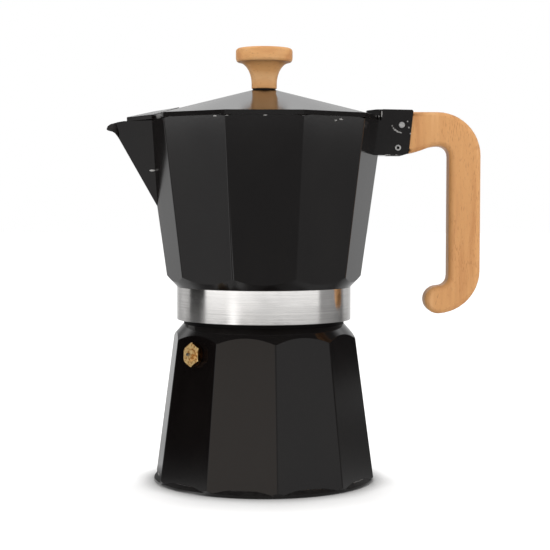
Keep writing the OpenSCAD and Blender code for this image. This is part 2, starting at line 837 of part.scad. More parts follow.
module lid() {
    color("#242221")
        difference() {
            union() {
                facet_frustum(lid_z, rim_r, roof_z, rim_r);
                facet_frustum(roof_z - weld, rim_r, apex_z, apex_r);
                beak_shape(0, 0);
                side_plate(-tail_w / 2, tail_w / 2) tail_outline();
            }
            facet_frustum(lid_z - 1, lid_in_r, lid_in_z, lid_in_r);
            facet_frustum(lid_in_z - weld, lid_in_r, lid_top_in, apex_r + 2);
            beak_shape(1.4, 1.4);
            cylinder(h = apex_z + 5, r = knob_screw_r + 0.2);
            cross_pin([hinge_x, hinge_z], hinge_pin_r + running, fork_w);
            // notches for the fork's cheeks
            for (side = [-1, 1])
                translate([hinge_x, side * (notch_y[0] + notch_y[1]) / 2, hinge_z])
                    rotate([90, 0, 0])
                        cylinder(h = notch_y[1] - notch_y[0], r = cheek_sweep, center = true);
        }
}

module knob_washer() {
    color("#1c1b1b")
        translate([0, 0, apex_z + seat_gap])
            difference() {
                cylinder(h = knob_washer_t - 2 * seat_gap, r = knob_stem_r - 0.6);
                translate([0, 0, -1])
                    cylinder(h = knob_washer_t + 2, r = knob_screw_r + 0.1);
            }
}

module knob_screw() {
    color("#b5b7b9") {
        translate([0, 0, lid_top_in - seat_gap - screw_head_h])
            cylinder(h = screw_head_h, r = screw_head_r);
        translate([0, 0, lid_top_in - seat_gap - weld])
            cylinder(h = knob_z + screw_up - lid_top_in + seat_gap + weld, r = knob_screw_r);
    }
}

module knob_insert() {
    color("#c99a4f")
        translate([0, 0, knob_z + seat_gap])
            difference() {
                cylinder(h = insert_h, r = insert_r);
                translate([0, 0, -1])
                    cylinder(h = insert_h + 2, r = knob_screw_r + press);
            }
}

// turned knob: a straight stem that flares into a rounded cap
module knob() {
    edge = 1.6;
    under = 0.75;
    neck_h = 2.5;
    flare_w = knob_r - under - knob_stem_r;
    flare_h = knob_flare_z - knob_z - neck_h;
    color("#d79c62")
        difference() {
            turned(concat(
                [[0, knob_z], [knob_stem_r - 0.4, knob_z], [knob_stem_r, knob_z + 0.4]],
                [for (i = [0 : 10]) let (a = 9 * i)
                    [knob_stem_r + flare_w * (1 - cos(a)), knob_z + neck_h + flare_h * sin(a)]],
                [[knob_r - 0.3, knob_flare_z + 0.7], [knob_r, knob_flare_z + 1.6]],
                arc(knob_r - edge, knob_top - edge, edge, 0, 90, 5),
                [[0, knob_top]]));
            translate([0, 0, knob_z - 1])
                cylinder(h = insert_h + 1 + 2 * seat_gap, r = insert_r + press);
        }
}

boiler();
valve_body();
valve_washer();
valve_plunger();
valve_spring();
valve_cap();
funnel_basket();
funnel_stem();
funnel_screen();
gasket();
filter_plate();
collector();
coffee_column();
handle();
handle_rivet();
hinge_pin();
lid();
knob_washer();
knob_screw();
knob_insert();
knob();
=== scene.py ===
"""Stove-top moka pot, dressed for the eye on its CAD frame.

Metres, +Z up, the spout along -X and the handle along +X. The castings are
merged copies of the CAD nodes with their edges rounded, and the screw threads
are modelled here.
"""
import json
import math

import bpy
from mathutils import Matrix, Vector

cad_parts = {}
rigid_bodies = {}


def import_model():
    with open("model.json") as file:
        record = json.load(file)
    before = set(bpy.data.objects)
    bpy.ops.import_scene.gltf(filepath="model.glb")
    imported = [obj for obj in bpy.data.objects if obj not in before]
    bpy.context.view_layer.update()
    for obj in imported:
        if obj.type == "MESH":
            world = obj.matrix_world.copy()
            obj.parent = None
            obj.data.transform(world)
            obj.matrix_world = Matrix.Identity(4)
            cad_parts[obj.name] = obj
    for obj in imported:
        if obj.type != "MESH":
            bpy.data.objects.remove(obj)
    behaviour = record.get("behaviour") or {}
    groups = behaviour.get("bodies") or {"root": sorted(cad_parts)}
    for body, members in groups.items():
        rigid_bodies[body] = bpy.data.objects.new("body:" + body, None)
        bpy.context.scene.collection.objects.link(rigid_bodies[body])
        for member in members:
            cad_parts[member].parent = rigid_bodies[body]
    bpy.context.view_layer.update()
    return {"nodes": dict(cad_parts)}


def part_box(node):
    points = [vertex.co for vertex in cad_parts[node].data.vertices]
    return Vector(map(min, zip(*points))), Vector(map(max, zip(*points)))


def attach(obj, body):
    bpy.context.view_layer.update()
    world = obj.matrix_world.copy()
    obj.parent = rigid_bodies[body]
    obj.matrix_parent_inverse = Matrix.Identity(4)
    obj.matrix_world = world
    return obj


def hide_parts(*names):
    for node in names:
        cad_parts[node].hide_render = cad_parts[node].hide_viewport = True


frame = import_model()

MM = 0.001

# places that the CAD nodes give
BAND_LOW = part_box("collector")[0].z
BAND_TOP = BAND_LOW + 16.5 * MM
RIM_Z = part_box("handle")[1].z - 4.4 * MM
BOILER_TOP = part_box("boiler")[1].z
SHOULDER_Z = BOILER_TOP - 19 * MM
NECK_R = 40.4 * MM

# where one finish of the boiler ends and the next begins
FOOT_TOP = 8 * MM
FOOT_LEDGE_R = 52 * MM
NECK_INNER_R = 40 * MM
NECK_MARGIN = 0.6 * MM
BARE_NECK_DEPTH = 10 * MM
CHAMBER_R = 51 * MM
CHAMBER_LOW = 3 * MM
CHAMBER_FLOOR_TOP = 12 * MM

# the same for the collector and the lid
VESSEL_R = 58 * MM
VESSEL_FLOOR_R = 50 * MM
VESSEL_FLOOR_DEPTH = 2 * MM
SPOUT_START = -48 * MM
SPOUT_RIM_START = -50 * MM
SPOUT_RIM_DROP = 6 * MM
SPOUT_TIP = -70 * MM
SKIRT_R = 41 * MM
SKIRT_TOP = BAND_TOP + 14 * MM
LID_INSIDE_R = 57.3 * MM
RIVET_BORE_R = 0.75 * MM

# the beak's lower edge, and how it is brought down along the spout
BEAK_START = -55 * MM
BEAK_EDGE = RIM_Z + 0.5 * MM
BEAK_EDGE_REACH = 0.15 * MM
BEAK_SLOPE = 0.058
BEAK_DROP = 0.25 * MM

# edges: the least angle in degrees and the least straight run in millimetres
EDGE_ANGLE = 24
LONG_CORNER = 30

# screw threads: pitch, turns and the widths of a ridge as shares of pitch and root
PITCH = 3 * MM
TURNS = 2
TURN_STEPS = 72
ROOT_SHARE = 0.62
CREST_SHARE = 0.3


# ---------------------------------------------------------------- materials

def linear(hex_colour):
    """sRGB hex to a linear RGBA colour."""
    parts = [int(hex_colour[i:i + 2], 16) / 255 for i in (1, 3, 5)]
    return [p / 12.92 if p <= 0.04045 else ((p + 0.055) / 1.055) ** 2.4 for p in parts] + [1.0]


def add(tree, kind, inputs=(), **settings):
    """Adds a shader node. Inputs go by socket name or number, and may be values, nodes or sockets."""
    made = tree.nodes.new("ShaderNode" + kind)
    for key, value in settings.items():
        setattr(made, key, value)
    for key, value in dict(inputs).items():
        if isinstance(value, bpy.types.Node):
            value = value.outputs[0]
        if isinstance(value, bpy.types.NodeSocket):
            tree.links.new(value, made.inputs[key])
        else:
            made.inputs[key].default_value = value
    return made


def add_link(tree, source, target, socket):
    """Links a node or a socket to a socket of the target by its name."""
    if isinstance(source, bpy.types.Node):
        source = source.outputs[0]
    tree.links.new(source, target.inputs[socket])


def ramp(tree, factor, stops, smooth=True):
    """Colour ramp with stops of (place, hex colour or grey value)."""
    made = add(tree, "ValToRGB", {0: factor})
    made.color_ramp.interpolation = "EASE" if smooth else "LINEAR"
    points = made.color_ramp.elements
    while len(points) < len(stops):
        points.new(0.5)
    for point, (place, colour) in zip(points, stops):
        point.position = place
        point.color = linear(colour) if isinstance(colour, str) else [colour] * 3 + [1.0]
    return made


def start(name, **sockets):
    """A new material: its tree, its surface shader and the object's own coordinates."""
    material = bpy.data.materials.new(name)
    material.use_nodes = True
    tree = material.node_tree
    tree.nodes.clear()
    shader = add(tree, "BsdfPrincipled", {k.replace("_", " "): v for k, v in sockets.items()})
    add(tree, "OutputMaterial", {0: shader})
    place = add(tree, "TexCoord").outputs["Object"]
    return material, tree, shader, place


def stretched(tree, place, x, y, z):
    """Coordinates in cells of x by y by z millimetres."""
    return add(tree, "Mapping", {0: place, "Scale": (1000 / x, 1000 / y, 1000 / z)})


def noise(tree, vector, detail=2.0, roughness=0.5):
    """Cloudy noise, one cell of the vector to a blot."""
    return add(tree, "TexNoise", {"Vector": vector, "Scale": 1.0, "Detail": detail,
                                  "Roughness": roughness})


def bump(tree, height, depth, strength=1.0):
    """Relief of a depth in millimetres from a height between 0 and 1."""
    return add(tree, "Bump", {"Height": height, "Distance": depth * MM, "Strength": strength})


def mixed(tree, factor, first, second):
    """Colour mix."""
    return add(tree, "Mix", {0: factor, 6: first, 7: second}, data_type="RGBA").outputs[2]


def black_enamel(name, chips_and_painted_glints=()):
    """Stove enamel over cast aluminium: a gloss black coat with a faint orange peel, soft smears
    where it was wiped, and uncoated metal where its edges are chipped. Some of the uncoated patches
    are painted highlights and painted reflections, put where the coat catches light."""
    material, tree, shader, place = start(name, IOR=1.5)
    smear = noise(tree, stretched(tree, place, 30, 30, 55), 3.0)
    peel = noise(tree, stretched(tree, place, 1.6, 1.6, 1.6), 1.0)
    dust = noise(tree, stretched(tree, place, 0.9, 0.9, 0.9), 2.0)
    coat = ramp(tree, smear, [(0.3, "#0c0909"), (0.7, "#100d0c")])
    speck = ramp(tree, dust, [(0.76, 0.0), (0.82, 0.12)])
    colour = mixed(tree, speck, coat, linear("#6d6a68"))
    rough = add(tree, "MapRange", {0: smear, 1: 0.3, 2: 0.7, 3: 0.1, 4: 0.15})
    bare_or_painted_glint = None
    # each patch is uncoated metal: some are chips, some are painted highlights or painted reflections
    for centre, size in chips_and_painted_glints:
        offset = add(tree, "VectorMath", {0: place, 1: [v * MM for v in centre]},
                     operation="SUBTRACT")
        shrunk = add(tree, "VectorMath", {0: offset, 1: [1 / (v * MM) for v in size]},
                     operation="MULTIPLY")
        reach = add(tree, "VectorMath", {0: shrunk}, operation="LENGTH").outputs["Value"]
        ragged = add(tree, "Math", {0: dust, 1: 1.1, 2: reach}, operation="MULTIPLY_ADD")
        here = add(tree, "Math", {0: ragged, 1: 1.5}, operation="LESS_THAN")
        bare_or_painted_glint = here if bare_or_painted_glint is None else add(tree, "Math", {0: bare_or_painted_glint, 1: here},
                                             operation="MAXIMUM")
    if bare_or_painted_glint is not None:
        colour = mixed(tree, bare_or_painted_glint, colour, linear("#d9d7d4"))
        rough = add(tree, "MapRange", {0: bare_or_painted_glint, 3: rough.outputs[0], 4: 0.42})
        add_link(tree, bare_or_painted_glint, shader, "Metallic")
    add_link(tree, colour, shader, "Base Color")
    add_link(tree, rough, shader, "Roughness")
    add_link(tree, bump(tree, peel, 0.006), shader, "Normal")
    return material


def dulled_or_painted_light_enamel(name, dark, light, gloss=0.5):
    """Enamel that scuffs have dulled, or a flat tone put in for light: a soft even grey-black with
    hardly a mirror left in it. On the neck it is painted shade, and on the spout's tip and rim it is
    a painted reflection: the tone that shade or mirrored light gives the gloss coat."""
    material, tree, shader, place = start(name, Roughness=0.55, Specular_IOR_Level=gloss)
    rubbed = noise(tree, stretched(tree, place, 2.5, 2.5, 2.5), 3.0, 0.6)
    add_link(tree, ramp(tree, rubbed, [(0.3, dark), (0.7, light)]), shader, "Base Color")
    add_link(tree, bump(tree, rubbed, 0.01), shader, "Normal")
    return material


def turned_aluminium():
    """Cast aluminium skimmed on a lathe and polished: a soft satin mirror with hairline rings
    and faint cloudy patches where it was handled."""
    material, tree, shader, place = start("turned_aluminium", Metallic=1.0)
    rings = noise(tree, stretched(tree, place, 60, 60, 0.5), 3.0, 0.7)
    patches = noise(tree, stretched(tree, place, 12, 12, 9), 3.0, 0.6)
    grit = noise(tree, stretched(tree, place, 0.8, 0.8, 0.8), 3.0, 0.7)
    shade = add(tree, "Math", {0: patches, 1: rings}, operation="ADD")
    colour = ramp(tree, add(tree, "Math", {0: shade, 1: 0.5}, operation="MULTIPLY"),
                  [(0.36, "#d2d0ce"), (0.6, "#e4e2e0")])
    rough = add(tree, "MapRange", {0: patches, 1: 0.3, 2: 0.7, 3: 0.09, 4: 0.18})
    relief = bump(tree, rings, 0.003)
    pitted = add(tree, "Bump", {"Height": grit, "Distance": 0.006 * MM, "Normal": relief})
    add_link(tree, colour, shader, "Base Color")
    add_link(tree, rough, shader, "Roughness")
    add_link(tree, pitted, shader, "Normal")
    return material


def cast_aluminium():
    """Aluminium as it left the die: grey, matt and slightly pebbled, inside the vessels."""
    material, tree, shader, place = start("cast_aluminium", Metallic=1.0)
    pebbles = noise(tree, stretched(tree, place, 0.9, 0.9, 0.9), 3.0, 0.6)
    cloud = noise(tree, stretched(tree, place, 14, 14, 14), 2.0)
    add_link(tree, ramp(tree, cloud, [(0.3, "#a19f9c"), (0.7, "#bdbbb8")]), shader, "Base Color")
    add_link(tree, add(tree, "MapRange", {0: pebbles, 3: 0.4, 4: 0.6}), shader, "Roughness")
    add_link(tree, bump(tree, pebbles, 0.05), shader, "Normal")
    return material


def spun_aluminium():
    """Sheet aluminium spun on a former: close circular tool marks and a satin sheen."""
    material, tree, shader, place = start("spun_aluminium", Metallic=1.0)
    marks = noise(tree, stretched(tree, place, 40, 40, 0.5), 2.0, 0.6)
    cloud = noise(tree, stretched(tree, place, 9, 9, 9), 2.0)
    add_link(tree, ramp(tree, cloud, [(0.3, "#c2c1bf"), (0.7, "#d8d7d5")]), shader, "Base Color")
    add_link(tree, add(tree, "MapRange", {0: cloud, 3: 0.24, 4: 0.38}), shader, "Roughness")
    add_link(tree, bump(tree, marks, 0.02), shader, "Normal")
    return material


def turned_brass(name, tarnished, clean, metal):
    """Free-cutting brass, turned and barrel polished: warm yellow, with darker tarnish and a
    thin clear lacquer that scatters a little light where metal is below one."""
    material, tree, shader, place = start(name, Metallic=metal)
    tarnish = noise(tree, stretched(tree, place, 1.6, 1.6, 1.6), 3.0, 0.6)
    add_link(tree, ramp(tree, tarnish, [(0.36, tarnished), (0.56, clean)]), shader, "Base Color")
    add_link(tree, add(tree, "MapRange", {0: tarnish, 3: 0.46, 4: 0.28}), shader, "Roughness")
    add_link(tree, bump(tree, tarnish, 0.02), shader, "Normal")
    return material


def plain_metal(name, dark, light, rough):
    """Drawn or headed metal: fine mottling that breaks up its reflections."""
    material, tree, shader, place = start(name, Metallic=1.0, Roughness=rough)
    mottle = noise(tree, stretched(tree, place, 0.8, 0.8, 0.8), 3.0, 0.6)
    add_link(tree, ramp(tree, mottle, [(0.3, dark), (0.7, light)]), shader, "Base Color")
    add_link(tree, bump(tree, mottle, 0.012), shader, "Normal")
    return material


def beech(name, along, tones=("#d19259", "#dfa367", "#e8b178")):
    """Steamed beech under a clear satin lacquer: even tan wood with growth bands and the short
    dark flecks of its rays, both drawn along the grain."""
    material, tree, shader, place = start(name, Roughness=0.46, IOR=1.48)
    size = {"x": (90, 7, 7), "z": (7, 7, 90)}[along]
    fleck_size = {"x": (3.4, 0.55, 0.55), "z": (0.55, 0.55, 3.4)}[along]
    pore_size = {"x": (1.6, 0.3, 0.3), "z": (0.3, 0.3, 1.6)}[along]
    warp = noise(tree, stretched(tree, place, 30, 30, 30), 1.0)
    bent = add(tree, "Mix", {0: 0.004, 4: place, 5: warp.outputs[1]},
               data_type="VECTOR").outputs[1]
    bands = noise(tree, stretched(tree, bent, *size), 3.0, 0.55)
    flecks = noise(tree, stretched(tree, place, *fleck_size), 2.0, 0.5)
    pores = noise(tree, stretched(tree, place, *pore_size), 1.0)
    tone = ramp(tree, bands, list(zip((0.3, 0.5, 0.7), tones)))
    crowd = noise(tree, stretched(tree, place, 22, 22, 30), 1.0)
    dense = add(tree, "Math", {0: crowd, 1: 0.35, 2: flecks}, operation="MULTIPLY_ADD")
    fleck = ramp(tree, dense, [(0.76, 0.0), (0.88, 0.5)])
    pore = ramp(tree, pores, [(0.62, 0.0), (0.75, 0.22)])
    colour = mixed(tree, fleck, tone.outputs[0], linear("#b5743f"))
    colour = mixed(tree, pore, colour, linear("#e8c08c"))
    add_link(tree, colour, shader, "Base Color")
    add_link(tree, bump(tree, flecks, 0.03, 0.6), shader, "Normal")
    return material


def white_silicone():
    """Moulded silicone: milky and matt, with a fine moulding grain."""
    material, tree, shader, place = start("white_silicone", Roughness=0.55, IOR=1.41,
                                          Subsurface_Weight=0.1)
    shader.inputs["Subsurface Radius"].default_value = (0.004, 0.003, 0.002)
    grain = noise(tree, stretched(tree, place, 0.7, 0.7, 0.7), 2.0)
    add_link(tree, ramp(tree, grain, [(0.3, "#dcd7cb"), (0.7, "#e8e4da")]), shader, "Base Color")
    add_link(tree, bump(tree, grain, 0.02), shader, "Normal")
    return material


def black_nylon_and_bore_shade():
    """Moulded polyamide: near black and dull. In the rivet bores the same coat is painted shade."""
    material, tree, shader, place = start("black_nylon_and_bore_shade", Roughness=0.5, IOR=1.53)
    grain = noise(tree, stretched(tree, place, 0.5, 0.5, 0.5), 2.0)
    add_link(tree, ramp(tree, grain, [(0.3, "#0d0a09"), (0.7, "#171312")]), shader, "Base Color")
    add_link(tree, bump(tree, grain, 0.01), shader, "Normal")
    return material


# --------------------------------------------------------------- modelling

def only(*objects):
    """Selects these objects alone and makes the first one active."""
    bpy.ops.object.select_all(action="DESELECT")
    for one in objects:
        one.select_set(True)
    bpy.context.view_layer.objects.active = objects[0]


def edit(piece, *steps):
    """Runs edit-mode operators on the whole piece."""
    only(piece)
    bpy.ops.object.mode_set(mode="EDIT")
    for step, settings in steps:
        step(**settings)
    bpy.ops.object.mode_set(mode="OBJECT")


def apply(piece, kind, **settings):
    """Adds a modifier with its settings and applies it."""
    only(piece)
    modifier = piece.modifiers.new(kind.lower(), kind)
    for key, value in settings.items():
        setattr(modifier, key, value)
    bpy.ops.object.modifier_apply(modifier=modifier.name)


def finish_with(piece, body, materials, smooth):
    """Gives the piece its finish and its smooth shading, and lets it ride on its body."""
    only(piece)
    bpy.ops.object.shade_smooth_by_angle(angle=math.radians(smooth))
    apply(piece, "WEIGHTED_NORMAL", mode="FACE_AREA", keep_sharp=True)
    piece.data.materials.clear()
    for material in materials:
        piece.data.materials.append(material)
    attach(piece, body)


def broken_edges(node, name, body, width, materials, angle=EDGE_ANGLE, corner=0):
    """A merged copy of a CAD node with its sharp edges rounded by width millimetres, and its
    long straight corners by corner millimetres."""
    only(frame["nodes"][node])
    bpy.ops.object.duplicate()
    piece = bpy.context.object
    bpy.ops.object.parent_clear(type="CLEAR_KEEP_TRANSFORM")
    piece.name = name
    edit(piece,
         (bpy.ops.mesh.select_all, {"action": "SELECT"}),
         (bpy.ops.mesh.remove_doubles, {"threshold": 0.002 * MM}),
         (bpy.ops.mesh.dissolve_limited, {"angle_limit": math.radians(0.4)}))
    if corner:
        round_corners(piece, corner)
    if width:
        apply(piece, "BEVEL", width=width * MM, segments=2, limit_method="ANGLE",
              angle_limit=math.radians(angle), use_clamp_overlap=True,
              miter_outer="MITER_ARC", harden_normals=False)
    finish_with(piece, body, materials, 40)
    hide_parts(node)
    return piece


def round_corners(piece, width):
    """Rounds the corners between facets where they run straight for long enough."""
    sides = {}
    for face in piece.data.polygons:
        for key in face.edge_keys:
            sides.setdefault(key, []).append(face.normal)
    bpy.context.tool_settings.mesh_select_mode = (False, True, False)
    edit(piece, (bpy.ops.mesh.select_all, {"action": "DESELECT"}))
    for edge in piece.data.edges:
        first, last = (piece.data.vertices[v].co for v in edge.vertices)
        edge.select = (len(sides[edge.key]) == 2 and (last - first).length > LONG_CORNER * MM
                       and sides[edge.key][0].angle(sides[edge.key][1])
                       > math.radians(EDGE_ANGLE))
    edit(piece, (bpy.ops.mesh.bevel, {"offset": width * MM, "segments": 3, "affect": "EDGES",
                                      "clamp_overlap": False}))


def paint_faces(piece, slot, wanted):
    """Puts the faces whose centre and normal are wanted into a material slot."""
    for face in piece.data.polygons:
        if wanted(face.center, face.normal):
            face.material_index = slot


def radius(point):
    """Distance from the pot's upright axis."""
    return math.hypot(point.x, point.y)


def faces_in(point, normal):
    """Whether a face looks towards the pot's upright axis."""
    return normal.x * point.x + normal.y * point.y < 0


def thread(name, body, material, root, crest, low):
    """A helical ridge between the radii root and crest, screwed up from the height low."""
    bpy.ops.object.select_all(action="DESELECT")
    bpy.ops.mesh.primitive_plane_add(size=1, location=((root + crest) / 2, 0, low),
                                     rotation=(math.radians(90), 0, 0))
    ridge = bpy.context.object
    ridge.name = name
    ridge.scale = (abs(crest - root), PITCH * ROOT_SHARE, 1)
    bpy.ops.object.transform_apply(location=True, rotation=True, scale=True)
    for corner in ridge.data.vertices:
        if abs(corner.co.x - crest) < 1e-6:
            corner.co.z = low + (corner.co.z - low) * CREST_SHARE
    edit(ridge, (bpy.ops.mesh.select_all, {"action": "SELECT"}),
         (bpy.ops.mesh.delete, {"type": "ONLY_FACE"}))
    apply(ridge, "SCREW", axis="Z", screw_offset=PITCH, iterations=TURNS, steps=TURN_STEPS,
          render_steps=TURN_STEPS, use_smooth_shade=True)
    edit(ridge, (bpy.ops.mesh.select_all, {"action": "DESELECT"}),
         (bpy.ops.mesh.select_mode, {"type": "EDGE"}),
         (bpy.ops.mesh.select_non_manifold, {}),
         (bpy.ops.mesh.edge_face_add, {}),
         (bpy.ops.mesh.select_all, {"action": "SELECT"}),
         (bpy.ops.mesh.normals_make_consistent, {"inside": False}))
    finish_with(ridge, body, [material], 50)


# ------------------------------------------------------------ the finishes

boiler_enamel = black_enamel("boiler_enamel", (((-34.0, -45.0, 10.6), (0.45, 3, 0.45)),))
lid_enamel = black_enamel("lid_enamel", (
    # by the beak, a wide metal patch: painted reflection of the rim; on the hinge tail, a thin
    # streak: partly a worn edge, partly a painted highlight
    ((-51.5, -27.0, 182.2), (3.0, 6, 1.0)), ((57.3, -8.5, 184.0), (0.5, 3, 2.0))))
collector_enamel = black_enamel("collector_enamel", (
    # a scratch, a worn line on the cheek's front edge that is partly a painted highlight, and flecks
    # on the fork's cheek
    ((63.8, -8.5, 178.3), (0.22, 2, 0.5)), ((64.5, -8.5, 177.2), (0.35, 2, 0.5)),
    ((65.3, -8.5, 176.4), (0.7, 2, 0.45)), ((66.2, -8.5, 175.8), (0.7, 2, 0.4)),
    ((67.2, -8.5, 175.3), (0.8, 2, 0.4)), ((68.2, -8.5, 175.0), (0.6, 2, 0.3)),
    ((58.6, -8.5, 184.3), (0.28, 2, 1.7)), ((71.5, -8.5, 180.6), (0.3, 2, 0.35)),
    ((72.1, -8.5, 177.6), (0.35, 2, 0.4)), ((72.9, -8.5, 174.6), (0.3, 2, 0.5)),
    # the fork's worn lower edge
    ((61.5, -8.5, 163.9), (1.6, 1, 0.35)), ((66.0, -8.5, 163.7), (1.2, 1, 0.3)),
    # a dash of uncoated metal on the spout, a patch by the beak that is a painted reflection, and
    # flecks along the rim
    ((-56.3, -6.0, 156.0), (1.6, 9, 0.5)), ((-51.5, -28.0, 181.3), (2.8, 6, 0.5)),
    ((36.5, -43.9, 179.7), (0.9, 2, 0.4)), ((34.0, -45.5, 179.1), (0.5, 2, 0.4)),
    ((-23.0, -53.5, 180.6), (0.8, 2, 0.25)), ((-17.5, -57.0, 180.8), (1.0, 2, 0.25)),
    ((0.5, -57.0, 180.8), (1.0, 2, 0.22)), ((18.5, -56.5, 180.8), (0.9, 2, 0.22))))
# painted shade: a near-black dull coat on the boiler's neck, for the shade under the band
painted_shade_neck = dulled_or_painted_light_enamel("neck_painted_shade", "#050404", "#0b0808", 0.1)
dull_foot = dulled_or_painted_light_enamel("scuffed_foot", "#100e0e", "#1a1817")
# painted reflection: a flat grey on the spout's tip, for the tone its gloss coat would mirror
painted_reflection_tip = dulled_or_painted_light_enamel("spout_tip_painted_reflection", "#2a2827", "#343231", 0.1)
# painted reflection: a flat light grey on the spout's rim top, for the light its gloss coat would
# mirror
painted_reflection_rim = dulled_or_painted_light_enamel("spout_rim_painted_reflection", "#2c2a29", "#3a3837", 0.0)
band_metal = turned_aluminium()
inside_metal = cast_aluminium()
sheet_metal = spun_aluminium()
brass = turned_brass("lacquered_brass", "#b5762f", "#ffdb98", 0.6)
darker_valve_brass = turned_brass("valve_body_dark_brass", "#3e2409", "#7d5222", 1.0)
copper = plain_metal("copper_washer", "#33200f", "#5a3a26", 0.45)
steel = plain_metal("drawn_steel", "#8d8f92", "#b4b6b9", 0.28)
rivet = plain_metal("headed_rivet", "#c9c8c6", "#efeeec", 0.3)
handle_wood = beech("beech_handle", "z")
knob_wood = beech("beech_knob", "x", ("#dd9c62", "#eaae70", "#f2bc82"))
silicone = white_silicone()
nylon_and_bore_shade = black_nylon_and_bore_shade()

# -------------------------------------------------------------- the boiler

boiler = broken_edges("boiler", "boiler_casting", "boiler", 0.7,
                      [boiler_enamel, inside_metal, painted_shade_neck, dull_foot], corner=0.6)
# the neck under the band takes the painted shade
paint_faces(boiler, 2, lambda c, n: c.z > SHOULDER_Z and n.z < 0.5
            and NECK_INNER_R < radius(c) < NECK_R + NECK_MARGIN)
paint_faces(boiler, 3, lambda c, n: c.z < FOOT_TOP and n.z > 0.2 and radius(c) > FOOT_LEDGE_R)
paint_faces(boiler, 1, lambda c, n:
            c.z > BOILER_TOP - BARE_NECK_DEPTH
            or (radius(c) < CHAMBER_R and c.z > CHAMBER_LOW and faces_in(c, n))
            or (n.z > 0.7 and CHAMBER_LOW < c.z < CHAMBER_FLOOR_TOP))
thread("boiler_thread", "boiler", inside_metal, 38.7 * MM, 39.45 * MM, 82.5 * MM)

outward = (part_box("valve_cap")[0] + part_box("valve_cap")[1]) / 2
outward = Vector((outward.x, outward.y, 0)).normalized()
for node, finish, width in (("valve_body", darker_valve_brass, 0.25), ("valve_cap", brass, 0.2),
                            ("valve_washer", copper, 0.1)):
    turned = broken_edges(node, node + "_turned", "boiler", width, [finish, brass])
    # the valve body is the dark brass except on its faces that look outward, which take the light
    # brass
    if node == "valve_body":
        paint_faces(turned, 1, lambda c, n: n.dot(outward) > 0.3)
broken_edges("valve_plunger", "valve_plunger_turned", "valve_plunger", 0.12, [steel])
frame["nodes"]["valve_spring"].data.materials.clear()
frame["nodes"]["valve_spring"].data.materials.append(steel)

# ------------------------------------- funnel, gasket and the two strainers

for node, finish, width, body in (
        ("funnel_basket", sheet_metal, 0.15, "funnel"),
        ("funnel_stem", sheet_metal, 0.15, "funnel"),
        ("funnel_screen", sheet_metal, 0.0, "funnel"),
        ("gasket", silicone, 0.5, "gasket"),
        ("filter_plate", sheet_metal, 0.0, "filter_plate"),
        ("coffee_column", sheet_metal, 0.3, "collector")):
    broken_edges(node, node + "_finished", body, width, [finish])

# ----------------------------------------------------------- the collector

collector = broken_edges("collector", "collector_casting", "collector", 0.7,
                         [collector_enamel, inside_metal, band_metal, painted_reflection_tip, painted_reflection_rim],
                         corner=0.6)
paint_faces(collector, 1, lambda c, n: c.x > -VESSEL_R and c.z > BAND_TOP and faces_in(c, n)
            and radius(c) < VESSEL_R)
paint_faces(collector, 1, lambda c, n: n.z > 0.6 and c.z < RIM_Z - VESSEL_FLOOR_DEPTH
            and radius(c) < VESSEL_FLOOR_R)
paint_faces(collector, 1, lambda c, n: c.x < SPOUT_START and n.y * c.y < -1e-9)
paint_faces(collector, 1, lambda c, n: c.z < SKIRT_TOP and radius(c) < SKIRT_R)
paint_faces(collector, 2, lambda c, n: c.z < BAND_TOP and radius(c) > SKIRT_R)
# the spout's tip takes the painted reflection
paint_faces(collector, 3, lambda c, n: c.x < SPOUT_TIP)
# the spout's rim top takes the painted reflection
paint_faces(collector, 4, lambda c, n: n.z > 0.7 and c.x < SPOUT_RIM_START
            and c.z > RIM_Z - SPOUT_RIM_DROP)
thread("collector_thread", "collector", inside_metal, 39.95 * MM, 39.5 * MM, 84 * MM)

broken_edges("handle", "handle_turned", "collector", 0, [handle_wood])
for node in ("handle_rivet", "hinge_pin"):
    pin = broken_edges(node, node + "_headed", "collector", 0.3, [rivet, nylon_and_bore_shade])
    low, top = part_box(node)
    # the bore of each pin takes the near-black coat: painted shade in the hollow
    paint_faces(pin, 1, lambda c, n: abs(n.y) < 0.5 and RIVET_BORE_R
                > math.hypot(c.x - (low.x + top.x) / 2, c.z - (low.z + top.z) / 2))

# ----------------------------------------------------------------- the lid

def seat_beak(piece):
    """Brings the beak's lower edge down onto the spout's sloping rim, which it enters by 0.04 mm."""
    for corner in piece.data.vertices:
        if corner.co.x < BEAK_START and abs(corner.co.z - BEAK_EDGE) < BEAK_EDGE_REACH:
            corner.co.z += BEAK_SLOPE * (corner.co.x - BEAK_START) - BEAK_DROP


lid = broken_edges("lid", "lid_casting", "lid", 0.6, [lid_enamel, inside_metal])
seat_beak(lid)
paint_faces(lid, 1, lambda c, n: n.z < -0.3 and radius(c) < LID_INSIDE_R)
broken_edges("knob", "knob_turned", "lid", 0.3, [knob_wood], angle=50)
broken_edges("knob_washer", "knob_washer_moulded", "lid", 0.15, [nylon_and_bore_shade])
broken_edges("knob_screw", "knob_screw_headed", "lid", 0.3, [steel])
broken_edges("knob_insert", "knob_insert_turned", "lid", 0.1, [brass])

# ------------------------------------------------- floor, camera and light

def round_the_pot(tree, vector, shades):
    """Brightness by the vector's bearing in degrees: 0 in front of the pot, 90 on its right."""
    part = add(tree, "SeparateXYZ", {0: vector})
    front = add(tree, "Math", {0: part.outputs["Y"], 1: -1.0}, operation="MULTIPLY")
    bearing = add(tree, "Math", {0: part.outputs["X"], 1: front}, operation="ARCTAN2")
    turn = add(tree, "MapRange", {0: bearing, 1: -math.pi, 2: math.pi})
    return ramp(tree, turn, [((180 + degrees) / 360, shade) for degrees, shade in shades], False)


def open_sky(tree, reach, lean):
    """How free the floor is of things within reach, looking up and leaning back by lean."""
    up = add(tree, "CombineXYZ", {1: lean, 2: 1.0})
    return add(tree, "AmbientOcclusion", {"Distance": reach, "Normal": up}).outputs["AO"]


